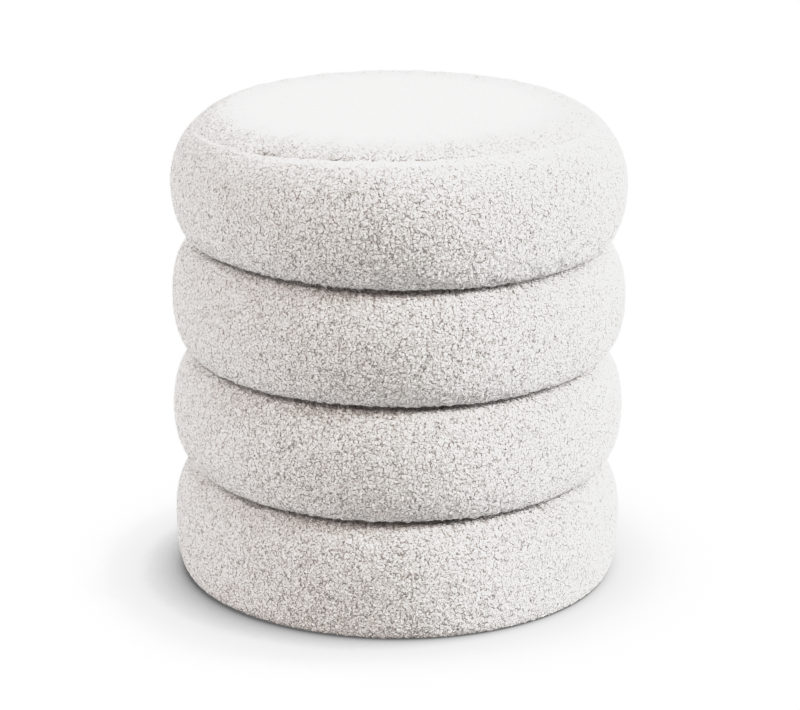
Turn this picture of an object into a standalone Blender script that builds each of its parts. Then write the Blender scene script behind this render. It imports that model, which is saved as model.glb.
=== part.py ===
"""Round storage footstool: a drum of three padded rings with a padded lid, all covered in curly cloth.

Metres, +Z up. The origin is the middle of the underside, on the floor. Every piece is a turned solid about
the Z axis, made from half of its section by a Screw modifier.
"""

import math

import bmesh
import bpy

# Driving dimensions
OUTER_RADIUS = 0.210  # widest point of every ring and of the lid
RING_PITCH = 0.107  # from one crease to the next
RING_NAMES = ("ring_lower", "ring_middle", "ring_upper")  # from the floor up
CREASE_RADIUS = 0.183  # where a ring's round side turns into its flat top or bottom
FOOT_RADIUS = 0.194  # edge of the flat on which the lowest ring stands
STORAGE_RADIUS = 0.165  # inner wall of the rings
GAP = 0.0003  # between two pieces that touch

LID_WIDEST = 0.054  # height of the lid's widest point above its underside
LID_SHOULDER = 0.119  # height of the edge of the lid's nearly flat top
LID_HEIGHT = 0.123  # height of the middle of the lid's crown
SHOULDER_RADIUS = 0.145  # radius of the edge of the lid's nearly flat top
SEAM_RADIUS = 0.179  # radius of the seam between top panel and band

BOARD_RADIUS = 0.176  # board under the lid and board in the bottom
BOARD_THICKNESS = 0.008
STEP_RADIUS = 0.162  # the lid's step, which drops into the storage opening
STEP_DEPTH = 0.014
STEP_CHAMFER = 0.002

# Roundness of a padded side: 2 is an ellipse, more is squarer
RING_ROUNDNESS = 2.2
FOOT_ROUNDNESS = 2.0
SHOULDER_ROUNDNESS = 2.1

LID_BOTTOM = len(RING_NAMES) * RING_PITCH

# Facets
TURN_STEPS = 60
SIDE_POINTS = 7
CROWN_POINTS = 4

# Finishes: colour, roughness
BOUCLE = ("boucle", (0.80, 0.77, 0.74, 1.0), 0.95)
LINING = ("lining", (0.55, 0.53, 0.50, 1.0), 0.90)


def padded_quarter(start, end, roundness, points=SIDE_POINTS):
    """Superellipse quarter from the widest point (radius, height) to the point where it lies level.

    With t from 0 to a quarter turn, the radius falls by cos t and the height changes by sin t, both raised
    to 2 / roundness.
    """
    (wide_radius, wide_height), (level_radius, level_height) = start, end
    power = 2.0 / roundness
    quarter = []
    for index in range(points):
        angle = 0.5 * math.pi * index / (points - 1)
        across = math.cos(angle) ** power if index < points - 1 else 0.0
        along = math.sin(angle) ** power
        quarter.append(
            (
                level_radius + (wide_radius - level_radius) * across,
                wide_height + (level_height - wide_height) * along,
            )
        )
    return quarter


def shoulder_height(radius):
    """Height of the lid's rounded shoulder above the lid's underside, at a radius."""
    power = SHOULDER_ROUNDNESS
    share = (radius - SHOULDER_RADIUS) / (OUTER_RADIUS - SHOULDER_RADIUS)
    return LID_WIDEST + (LID_SHOULDER - LID_WIDEST) * (1.0 - share**power) ** (1.0 / power)


def shoulder_points(outer_radius, inner_radius):
    """Points on the lid's shoulder between two radii, from the outer one, evenly spaced by angle."""
    span = OUTER_RADIUS - SHOULDER_RADIUS
    power = SHOULDER_ROUNDNESS / 2.0
    first = math.acos(((outer_radius - SHOULDER_RADIUS) / span) ** power)
    last = math.acos(((inner_radius - SHOULDER_RADIUS) / span) ** power)
    points = []
    for index in range(SIDE_POINTS):
        angle = first + (last - first) * index / (SIDE_POINTS - 1)
        radius = SHOULDER_RADIUS + span * max(math.cos(angle), 0.0) ** (1.0 / power)
        points.append((radius, shoulder_height(max(radius, SHOULDER_RADIUS))))
    return points


def crown_height(radius):
    """Height of the lid's crowned top above the lid's underside: a shallow parabola inside the shoulder."""
    return LID_SHOULDER + (LID_HEIGHT - LID_SHOULDER) * (1.0 - (radius / SHOULDER_RADIUS) ** 2)


def clear_scene():
    """Remove every object of the start-up scene."""
    for obj in list(bpy.data.objects):
        bpy.data.objects.remove(obj, do_unlink=True)


def make_material(name, colour, roughness):
    """Principled material with one colour and roughness."""
    material = bpy.data.materials.new(name)
    material.use_nodes = True
    shader = material.node_tree.nodes["Principled BSDF"]
    shader.inputs["Base Color"].default_value = colour
    shader.inputs["Roughness"].default_value = roughness
    shader.inputs["Metallic"].default_value = 0.0
    material.diffuse_color = colour
    return material


def make_turned(name, profile, finish, collection, parent, closed):
    """Turn a half section about Z. The profile runs down its outer side, from top to bottom.

    An open profile starts and ends on the axis. A closed one is a ring section, joined end to start.
    """
    mesh = bpy.data.meshes.new(name)
    work = bmesh.new()
    points = [work.verts.new((radius, 0.0, height)) for radius, height in profile]
    for upper, lower in zip(points, points[1:]):
        work.edges.new((upper, lower))
    if closed:
        work.edges.new((points[-1], points[0]))
    work.to_mesh(mesh)
    work.free()
    mesh.materials.append(make_material(f"{name}_{finish[0]}", *finish[1:]))
    obj = bpy.data.objects.new(name, mesh)
    collection.objects.link(obj)
    obj.parent = parent
    screw = obj.modifiers.new("Turn", "SCREW")
    screw.axis = "Z"
    screw.angle = math.tau
    screw.steps = TURN_STEPS
    screw.render_steps = TURN_STEPS
    screw.use_merge_vertices = True
    screw.merge_threshold = 0.00005
    screw.use_smooth_shade = True
    return obj


def ring_profile(index):
    """Section of one padded ring: round outside, flat top and bottom, straight inner wall.

    The lowest ring stands on a wider flat, and its inner edge is rebated for the bottom board.
    """
    low = index * RING_PITCH
    top = low + RING_PITCH - GAP
    middle = low + 0.5 * RING_PITCH
    is_lowest = index == 0
    foot_radius = FOOT_RADIUS if is_lowest else CREASE_RADIUS
    foot_roundness = FOOT_ROUNDNESS if is_lowest else RING_ROUNDNESS
    widest = (OUTER_RADIUS, middle)
    upper_side = padded_quarter(widest, (CREASE_RADIUS, top), RING_ROUNDNESS)
    lower_side = padded_quarter(widest, (foot_radius, low), foot_roundness)
    profile = [(STORAGE_RADIUS, top), *reversed(upper_side), *lower_side[1:]]
    if is_lowest:
        rebate_radius = BOARD_RADIUS + GAP
        rebate_top = BOARD_THICKNESS + GAP
        profile += [(rebate_radius, low), (rebate_radius, rebate_top), (STORAGE_RADIUS, rebate_top)]
    else:
        profile.append((STORAGE_RADIUS, low))
    return profile


def bottom_panel_profile():
    """Section of the plain board that closes the bottom, flush with the lowest ring's underside."""
    return [(0.0, BOARD_THICKNESS), (BOARD_RADIUS, BOARD_THICKNESS), (BOARD_RADIUS, 0.0), (0.0, 0.0)]


def lid_base_profile():
    """Section of the board under the lid, with the step that drops into the storage opening."""
    step_bottom = -STEP_DEPTH
    return [
        (0.0, BOARD_THICKNESS),
        (BOARD_RADIUS, BOARD_THICKNESS),
        (BOARD_RADIUS, 0.0),
        (STEP_RADIUS, 0.0),
        (STEP_RADIUS, step_bottom + STEP_CHAMFER),
        (STEP_RADIUS - STEP_CHAMFER, step_bottom),
        (0.0, step_bottom),
    ]


def lid_band_profile():
    """Section of the lid's side band and filling: up to the seam, with a recess below for the board."""
    widest = (OUTER_RADIUS, LID_WIDEST)
    seam_height = shoulder_height(SEAM_RADIUS)
    lower_side = padded_quarter(widest, (CREASE_RADIUS, 0.0), RING_ROUNDNESS)
    upper_side = shoulder_points(OUTER_RADIUS, SEAM_RADIUS)
    recess_radius = BOARD_RADIUS + GAP
    recess_top = BOARD_THICKNESS + GAP
    return [
        (0.0, seam_height),
        *reversed(upper_side),
        *lower_side[1:],
        (recess_radius, 0.0),
        (recess_radius, recess_top),
        (0.0, recess_top),
    ]


def lid_top_panel_profile():
    """Section of the lid's top panel: flat at the seam, rounded shoulder, shallow crown."""
    underside = shoulder_height(SEAM_RADIUS) + GAP
    shoulder = shoulder_points(SEAM_RADIUS, SHOULDER_RADIUS)
    crown_radii = [SHOULDER_RADIUS * index / CROWN_POINTS for index in range(CROWN_POINTS)]
    crown = [(radius, crown_height(radius)) for radius in crown_radii]
    edge = (SEAM_RADIUS, underside)
    return [*crown, *reversed(shoulder[1:]), edge, (0.0, underside)]


def build():
    """Build every piece: the drum on the floor, and the lid under its own empty."""
    clear_scene()
    collection = bpy.data.collections.new("storage_footstool")
    bpy.context.scene.collection.children.link(collection)
    drum = bpy.data.objects.new("drum_origin", None)
    lid = bpy.data.objects.new("lid_origin", None)
    lid.location = (0.0, 0.0, LID_BOTTOM)
    for empty in (drum, lid):
        collection.objects.link(empty)

    make_turned("bottom_panel", bottom_panel_profile(), LINING, collection, drum, closed=False)
    for index, name in enumerate(RING_NAMES):
        make_turned(name, ring_profile(index), BOUCLE, collection, drum, closed=True)
    make_turned("lid_base", lid_base_profile(), LINING, collection, lid, closed=False)
    make_turned("lid_band", lid_band_profile(), BOUCLE, collection, lid, closed=False)
    make_turned("lid_top_panel", lid_top_panel_profile(), BOUCLE, collection, lid, closed=False)


build()
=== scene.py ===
"""Looks of a round storage footstool: four padded tiers in curly off-white cloth, the top one a loose lid.

Metres, +Z up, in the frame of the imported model. Every padded piece is a surface on a grid: a half section
worked out row by row, carried round the axis, then swollen by a cloth simulation and covered in curls.
"""

from __future__ import annotations

import itertools
import logging
import math
from dataclasses import dataclass, field
from enum import Enum
from typing import Any

import bpy
import numpy as np
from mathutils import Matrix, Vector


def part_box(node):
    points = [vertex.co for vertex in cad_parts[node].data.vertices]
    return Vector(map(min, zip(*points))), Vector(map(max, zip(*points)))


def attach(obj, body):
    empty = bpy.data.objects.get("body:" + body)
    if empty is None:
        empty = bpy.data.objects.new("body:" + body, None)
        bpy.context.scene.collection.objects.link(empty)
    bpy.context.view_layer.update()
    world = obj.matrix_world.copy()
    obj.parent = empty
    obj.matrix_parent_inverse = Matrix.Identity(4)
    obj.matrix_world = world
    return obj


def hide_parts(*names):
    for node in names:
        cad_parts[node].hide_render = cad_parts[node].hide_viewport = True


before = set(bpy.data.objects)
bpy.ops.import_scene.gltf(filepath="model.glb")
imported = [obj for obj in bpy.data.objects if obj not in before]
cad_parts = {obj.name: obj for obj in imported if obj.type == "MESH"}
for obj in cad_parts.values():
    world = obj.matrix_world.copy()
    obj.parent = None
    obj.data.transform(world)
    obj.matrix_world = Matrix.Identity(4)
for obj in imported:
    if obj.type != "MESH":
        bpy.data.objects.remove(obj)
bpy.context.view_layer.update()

LOG = logging.getLogger("footstool")
MM = 0.001
FULL_TURN = 2.0 * math.pi
BAKE_MAP = "OFBake"
# Mesh attribute with the pile's height, with painted shade next to the creases and in the seam's groove,
# and painted light on the seam's lip
PILE = "pile"
NAP = "nap"
# Height of the pile that leaves the cloth's colour as it is
FLAT_PILE = 0.6
# Air between two tiers, and round a board in its recess
TIER_GAP = 0.1 * MM
BOARD_GAP = 0.3 * MM


class Body(Enum):
    """The two things that move apart."""

    DRUM = "drum"
    LID = "lid"


class Slot(Enum):
    """The record's material slots."""

    BOUCLE = "boucle"
    LINING = "lining"


# ---- Sizes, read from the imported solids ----


def node_radii(node: str) -> tuple[float, float]:
    """Smallest and largest distance of a node's points from the Z axis.

    Args:
        node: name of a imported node.

    Returns:
        Both radii in metres.
    """
    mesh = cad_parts[node].data
    points = np.empty(len(mesh.vertices) * 3, np.float32)
    mesh.vertices.foreach_get("co", points)
    radii = np.hypot(*points.reshape(-1, 3)[:, :2].T)
    return float(radii.min()), float(radii.max())


@dataclass(frozen=True)
class Measures:
    """Driving sizes of the footstool, from the boxes of its solids."""

    storage: float
    outer: float
    board: float
    seam_radius: float
    seam_height: float
    lid_low: float
    lid_top: float
    base_low: float
    base_top: float
    panel_top: float

    @classmethod
    def read(cls) -> Measures:
        """Read every size from the frame.

        Returns:
            The sizes.
        """
        return cls(
            storage=node_radii("ring_middle")[0],
            outer=node_radii("ring_middle")[1],
            board=node_radii("bottom_panel")[1],
            seam_radius=node_radii("lid_top_panel")[1],
            seam_height=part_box("lid_band")[1].z,
            lid_low=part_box("lid_band")[0].z,
            lid_top=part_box("lid_top_panel")[1].z,
            base_low=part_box("lid_base")[0].z,
            base_top=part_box("lid_base")[1].z,
            panel_top=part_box("bottom_panel")[1].z,
        )


# ---- Random surfaces ----


@dataclass(frozen=True)
class Lattice:
    """Smooth random numbers from -1 to 1 on a grid that wraps both ways."""

    seed: int
    columns: int
    rows: int = 64

    def at(self, across: np.ndarray, along: np.ndarray) -> np.ndarray:
        """Value noise: the four corners of a cell, blended by smooth steps.

        Args:
            across: position in cells, wrapping after `columns`.
            along: position in cells, wrapping after `rows`.

        Returns:
            One number from -1 to 1 for each position.
        """
        table = np.random.default_rng(self.seed).uniform(-1.0, 1.0, (self.rows, self.columns))
        column, row = np.floor(across).astype(int), np.floor(along).astype(int)
        ease_a, ease_b = smooth(across - column), smooth(along - row)
        left, right = column % self.columns, (column + 1) % self.columns
        low, high = row % self.rows, (row + 1) % self.rows
        near = table[low, left] * (1.0 - ease_a) + table[low, right] * ease_a
        far = table[high, left] * (1.0 - ease_a) + table[high, right] * ease_a
        return near * (1.0 - ease_b) + far * ease_b

    def around(self, turn: np.ndarray) -> np.ndarray:
        """The same noise on a ring, at each share of a full turn."""
        return self.at(turn * self.columns, np.zeros_like(turn))


def smooth(share: np.ndarray) -> np.ndarray:
    """Smooth step of a share from 0 to 1, held at both ends."""
    share = np.clip(share, 0.0, 1.0)
    return share * share * share * (share * (share * 6.0 - 15.0) + 10.0)


def hump(away: np.ndarray, width: float) -> np.ndarray:
    """Bell-shaped share: 1 where `away` is 0, dying out beyond `width` on both sides."""
    return np.exp(-((away / width) ** 2))


@dataclass(frozen=True)
class Curls:
    """Curls scattered one to a cell, each a stretched blob lying in its own direction."""

    seed: int
    columns: int
    rows: int = 96
    stretch: float = 1.45
    inset: float = 0.08

    def at(self, across: np.ndarray, along: np.ndarray) -> tuple[np.ndarray, np.ndarray, np.ndarray]:
        """Distance to the nearest curl, how much nearer it is than the next one, and its own lift.

        The distance is measured in the curl's own turned and stretched axes, so the lines between curls
        bend.

        Args:
            across: position in cells, wrapping after `columns`.
            along: position in cells, wrapping after `rows`.

        Returns:
            Distance and margin in cells, and a random number from 0 to 1 that belongs to the curl.
        """
        random = np.random.default_rng(self.seed)
        shape = (self.rows, self.columns)
        place_a, place_b = (random.uniform(self.inset, 1.0 - self.inset, shape) for _ in range(2))
        turn, lift = random.uniform(0.0, math.pi, shape), random.uniform(0.0, 1.0, shape)
        stretch = random.uniform(1.0, self.stretch, shape)
        column, row = np.floor(across).astype(int), np.floor(along).astype(int)
        nearest, second = np.full(across.shape, np.inf), np.full(across.shape, np.inf)
        own_lift = np.zeros(across.shape)
        for step_a, step_b in itertools.product((-1, 0, 1), repeat=2):
            cell = ((row + step_b) % self.rows, (column + step_a) % self.columns)
            gap_a = column + step_a + place_a[cell] - across
            gap_b = row + step_b + place_b[cell] - along
            cosine, sine = np.cos(turn[cell]), np.sin(turn[cell])
            long_way = (cosine * gap_a + sine * gap_b) / stretch[cell]
            short_way = (cosine * gap_b - sine * gap_a) * stretch[cell]
            away = np.hypot(long_way, short_way)
            closer = away < nearest
            second = np.where(closer, nearest, np.minimum(second, away))
            own_lift = np.where(closer, lift[cell], own_lift)
            nearest = np.where(closer, away, nearest)
        return nearest, second - nearest, own_lift


@dataclass(frozen=True)
class CurlyPile:
    """The cloth's pile: rounded curls with short dark gaps between some of them.

    `mean` is its usual relief, which is taken off so that the pile leaves a piece's size as it is, and
    `pressed` is how much of its depth is lost at the mouth of a crease.
    """

    spacing: float = 4.3 * MM
    depth: float = 1.7 * MM
    pressed: float = 0.7
    mean: float = 0.55
    warp: float = 0.35
    warp_cells: float = 2.3
    curl_reach: float = 1.05
    lowest: float = 0.72
    lift: float = 0.28
    gap: float = 0.36
    gap_depth: float = 0.35
    gap_deepens: float = 0.65

    def relief(self, across: np.ndarray, along: np.ndarray, round_way: float, seed: int) -> np.ndarray:
        """Height of the pile from 0 in the gaps to 1 on the highest curls.

        Positions are first pushed about by smooth noise, so that rows of curls wander. A curl is a dome,
        cut down by the gap round it, and the gaps are deep only in places.

        Args:
            across: metres along the way that closes on itself.
            along: metres the other way.
            round_way: length in metres after which `across` closes, or a large length if it doesn't.
            seed: start of the random draws.

        Returns:
            One height for each position.
        """
        columns = round(round_way / self.spacing)
        cells_a, cells_b = across / round_way * columns, along / self.spacing
        coarse = max(4, round(columns / self.warp_cells))
        wide_a, wide_b = cells_a * coarse / columns, cells_b / self.warp_cells
        push_a = Lattice(seed + 1, coarse).at(wide_a, wide_b)
        push_b = Lattice(seed + 2, coarse).at(wide_a, wide_b)
        moved_a, moved_b = cells_a + self.warp * push_a, cells_b + self.warp * push_b
        away, margin, lift = Curls(seed, columns).at(moved_a, moved_b)
        dome = np.sqrt(np.clip(1.0 - (away / self.curl_reach) ** 2, 0.0, 1.0))
        open_gap = 1.0 - smooth(margin / self.gap)
        deep = 0.5 + 0.5 * Lattice(seed + 3, columns).at(cells_a + 0.5, cells_b + 0.5)
        height = dome * (self.lowest + self.lift * lift)
        return np.clip(height * (1.0 - open_gap * (self.gap_depth + self.gap_deepens * deep)), 0.0, 1.0)


# ---- Sections and grids ----


def superellipse(
    wide: tuple[float, float], level: tuple[float, float], roundness: float, count: int = 400
) -> np.ndarray:
    """Quarter of a padded side, from its widest point to where it lies level.

    With t from 0 to a quarter turn, the radius falls by cos t and the height changes by sin t, both raised
    to 2 / roundness.

    Args:
        wide: radius and height of the widest point.
        level: radius and height of the level end.
        roundness: 2 for an ellipse, more for a squarer side.
        count: number of points.

    Returns:
        Array of radius and height, count by 2.
    """
    angle = np.linspace(0.0, 0.5 * math.pi, count)
    power = 2.0 / roundness
    across, along = np.cos(angle).clip(0.0) ** power, np.sin(angle) ** power
    radius = level[0] + (wide[0] - level[0]) * across
    height = wide[1] + (level[1] - wide[1]) * along
    return np.stack([radius, height], 1)


def line(start: tuple[float, float], end: tuple[float, float], count: int = 50) -> np.ndarray:
    """Straight stretch of a section, as radius and height."""
    return np.linspace(start, end, count)


def run_length(points: np.ndarray) -> np.ndarray:
    """Distance along a line of points, from its first point."""
    steps = np.linalg.norm(np.diff(points, axis=0), axis=1)
    return np.concatenate([[0.0], np.cumsum(steps)])


def spaced(points: np.ndarray, count: int) -> np.ndarray:
    """The same line with `count` points at even distances along it.

    Args:
        points: points of the line, each a radius and a height.
        count: how many points are wanted.

    Returns:
        The new points, `count` by 2.
    """
    run = run_length(points)
    at = np.linspace(0.0, run[-1], count)
    return np.stack([np.interp(at, run, points[:, axis]) for axis in range(2)], 1)

def even_angles(columns: int) -> np.ndarray:
    """Angles of columns that stand evenly round the axis."""
    return np.arange(columns) * FULL_TURN / columns


def turned_points(radius: np.ndarray, angle: np.ndarray, height: np.ndarray) -> np.ndarray:
    """Points at these radii, angles and heights, as rows of x, y and z."""
    return np.stack([radius * np.cos(angle), radius * np.sin(angle), height], -1).reshape(-1, 3)


@dataclass(frozen=True)
class Stretch:
    """One stretch of a section: its points, how many rows it gets, how high its pile is, and its lining."""

    points: np.ndarray
    rows: int
    pile: float = 0.0
    lined: bool = False


@dataclass
class Section:
    """Rows of a half section: radius, height, outward normal, pile strength and whether it is lined."""

    radius: np.ndarray
    height: np.ndarray
    pile: np.ndarray
    lined: np.ndarray
    closed: bool

    @classmethod
    def of(cls, stretches: list[Stretch], closed: bool) -> Section:
        """Join stretches end to end; the last point of each is left to the next one.

        Args:
            stretches: the section's stretches, down its outer side.
            closed: True if the last stretch ends where the first starts.

        Returns:
            The rows of the whole section.
        """
        rows, pile, lined = [], [], []
        for stretch in stretches:
            rows.append(spaced(stretch.points, stretch.rows + 1)[:-1])
            pile += [stretch.pile] * stretch.rows
            lined += [stretch.lined] * stretch.rows
        if not closed:
            rows.append(stretches[-1].points[-1:])
            pile.append(stretches[-1].pile)
            lined.append(stretches[-1].lined)
        joined = np.concatenate(rows)
        return cls(joined[:, 0], joined[:, 1], np.array(pile), np.array(lined), closed)

    def normals(self) -> tuple[np.ndarray, np.ndarray]:
        """Outward normal of each row, from its neighbours: minus the rise, and the run.

        Returns:
            Its two parts, along the radius and up.
        """
        if self.closed:
            run = np.roll(self.radius, -1) - np.roll(self.radius, 1)
            rise = np.roll(self.height, -1) - np.roll(self.height, 1)
        else:
            run, rise = np.gradient(self.radius), np.gradient(self.height)
        size = np.maximum(np.hypot(run, rise), 1e-9)
        return -rise / size, run / size

    def distance(self) -> np.ndarray:
        """Distance of each row along the section."""
        return run_length(np.stack([self.radius, self.height], 1))


@dataclass
class Surface:
    """A mesh in the making: points, quads, map, caps, and at each point the pile's strength and its
    height, with light and shade painted into it.

    The caps are laid flat in squares at the top of the map, each `cap_room` of its side across.
    """

    points: np.ndarray
    quads: np.ndarray
    uv: np.ndarray
    pile: np.ndarray
    nap: np.ndarray | None = None
    lined: np.ndarray | None = None
    caps: list[np.ndarray] = field(default_factory=list)
    cap_room: float = 0.0

    @classmethod
    def turned(
        cls,
        place: tuple[np.ndarray, np.ndarray, np.ndarray],
        run: np.ndarray,
        strips: int,
        closed: bool = False,
        **more: Any,
    ) -> Surface:
        """Surface of a grid turned about the axis, with a cap at each end unless its rows wrap.

        Args:
            place: radius, angle and height of each point, rows by columns.
            run: distance of each row along the section.
            strips: number of strips in the map.
            closed: True if the rows wrap.
            more: the rest of the surface's values.

        Returns:
            The surface.
        """
        rows, columns = place[0].shape
        around = np.arange(columns)
        return cls(
            points=turned_points(*place),
            quads=grid_quads(rows, columns, closed),
            uv=strip_map(run, columns, closed, strips),
            caps=[] if closed else [around, (rows - 1) * columns + around[::-1]],
            **more,
        )

    def corner_map(self, count: int) -> np.ndarray:
        """Map position of all `count` corners: the quads' own map, then the caps laid flat above it.

        Args:
            count: number of corners.

        Returns:
            One position for each corner.
        """
        uv = np.zeros((count, 2), np.float32)
        first, room = self.quads.size, 2.05
        width = room * np.abs(self.points[:, :2]).max()
        uv[:first] = self.uv.reshape(-1, 2) * (1.0, 1.0 - self.cap_room)
        for number, cap in enumerate(self.caps):
            flat = self.points[cap, :2] / width + 0.5
            square = (flat + (number, 0.0)) * self.cap_room
            uv[first : first + len(cap)] = square + (0.0, 1.0 - self.cap_room)
            first += len(cap)
        return uv

    def to_object(self, name: str, materials: list[bpy.types.Material]) -> bpy.types.Object:
        """Make the mesh and its object at the origin. Caps and lined faces are shaded flat.

        Args:
            name: the piece's name.
            materials: outer finish, and the lining where some faces are lined.

        Returns:
            The new object, linked to the scene.
        """
        mesh = bpy.data.meshes.new(name)
        corners = np.concatenate([self.quads.ravel(), *self.caps]).astype(np.int32)
        totals = [4] * len(self.quads) + [len(cap) for cap in self.caps]
        starts = np.concatenate([[0], np.cumsum(totals)[:-1]]).astype(np.int32)
        lined = np.zeros(len(totals), bool)
        if self.lined is not None:
            lined[: len(self.quads)] = self.lined
        mesh.vertices.add(len(self.points))
        mesh.vertices.foreach_set("co", self.points.astype(np.float32).ravel())
        mesh.loops.add(len(corners))
        mesh.loops.foreach_set("vertex_index", corners)
        mesh.polygons.add(len(totals))
        mesh.polygons.foreach_set("loop_start", starts)
        mesh.polygons.foreach_set("use_smooth", ~lined & (np.arange(len(totals)) < len(self.quads)))
        mesh.polygons.foreach_set("material_index", lined.astype(np.int32))
        mesh.update(calc_edges=True)
        mesh.uv_layers.new(name=BAKE_MAP).uv.foreach_set("vector", self.corner_map(len(corners)).ravel())
        nap = np.ones(len(self.points)) if self.nap is None else self.nap
        for key, numbers in ((PILE, self.pile), (NAP, nap)):
            mesh.attributes.new(key, "FLOAT", "POINT").data.foreach_set("value", numbers.astype(np.float32))
        for material in materials:
            mesh.materials.append(material)
        mesh.validate()
        return linked(bpy.data.objects.new(name, mesh))


def linked(piece: bpy.types.Object) -> bpy.types.Object:
    """Link an object to the scene and hand it back."""
    bpy.context.scene.collection.objects.link(piece)
    return piece


def grid_quads(rows: int, columns: int, closed: bool) -> np.ndarray:
    """Corner numbers of the quads of a grid whose columns wrap, and whose rows wrap if it is closed.

    Args:
        rows: rows of points.
        columns: columns of points.
        closed: True if the rows wrap.

    Returns:
        Four point numbers for each quad.
    """
    row, column = np.indices((rows if closed else rows - 1, columns))
    below, beside = (row + 1) % rows, (column + 1) % columns
    corners = [(row, column), (below, column), (below, beside), (row, beside)]
    return np.stack([down * columns + across for down, across in corners], -1).reshape(-1, 4)


def strip_map(run: np.ndarray, columns: int, closed: bool, strips: int) -> np.ndarray:
    """Map of a turned grid, cut into strips that lie one above the other.

    Args:
        run: distance of each row along the section.
        columns: points round the axis, a multiple of `strips`.
        closed: True if the rows wrap.
        strips: number of strips.

    Returns:
        Map position of each quad's corners, quads by 4 by 2.
    """
    share = np.append(run, run[-1] + (run[-1] - run[-2])) if closed else run
    share = share / share[-1]
    row, column = np.indices((len(share) - 1, columns))
    in_strip = columns // strips
    strip, place = column // in_strip, column % in_strip
    margin = 0.003
    left, right = place / in_strip, (place + 1) / in_strip
    upper, lower = (
        (strip + margin + (1.0 - 2.0 * margin) * level) / strips for level in (share[row], share[row + 1])
    )
    corners = [(left, upper), (left, lower), (right, lower), (right, upper)]
    return np.stack([np.stack(corner, -1) for corner in corners], 2).reshape(-1, 4, 2)


# ---- Shader maths ----


class Value:
    """A number that changes over a surface. Arithmetic on it adds Math nodes."""

    def __init__(self, tree: "ShaderTree", socket: bpy.types.NodeSocket) -> None:
        """Keep the tree and the socket that carries the number."""
        self.tree, self.socket = tree, socket

    def math(self, operation: str, *values: Any, clamp: bool = False) -> Value:
        """Add one Math node.

        Args:
            operation: the node's operation.
            values: its inputs, numbers or values.
            clamp: True to hold the result from 0 to 1.

        Returns:
            The node's result.
        """
        return self.tree.node("ShaderNodeMath", {"operation": operation, "use_clamp": clamp}, *values)

    def __add__(self, other: Any) -> Value:
        """Sum."""
        return self.math("ADD", self, other)

    __radd__ = __add__

    def __mul__(self, other: Any) -> Value:
        """Product."""
        return self.math("MULTIPLY", self, other)

    __rmul__ = __mul__

    def __sub__(self, other: Any) -> Value:
        """Difference."""
        return self.math("SUBTRACT", self, other)

    def __rsub__(self, other: Any) -> Value:
        """Difference from a number, so that 1 - mask works."""
        return self.math("SUBTRACT", other, self)

    def __truediv__(self, other: Any) -> Value:
        """Quotient."""
        return self.math("DIVIDE", self, other)

    def held(self) -> Value:
        """The same number, held from 0 to 1."""
        return self.math("ADD", self, 0.0, clamp=True)


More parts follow.
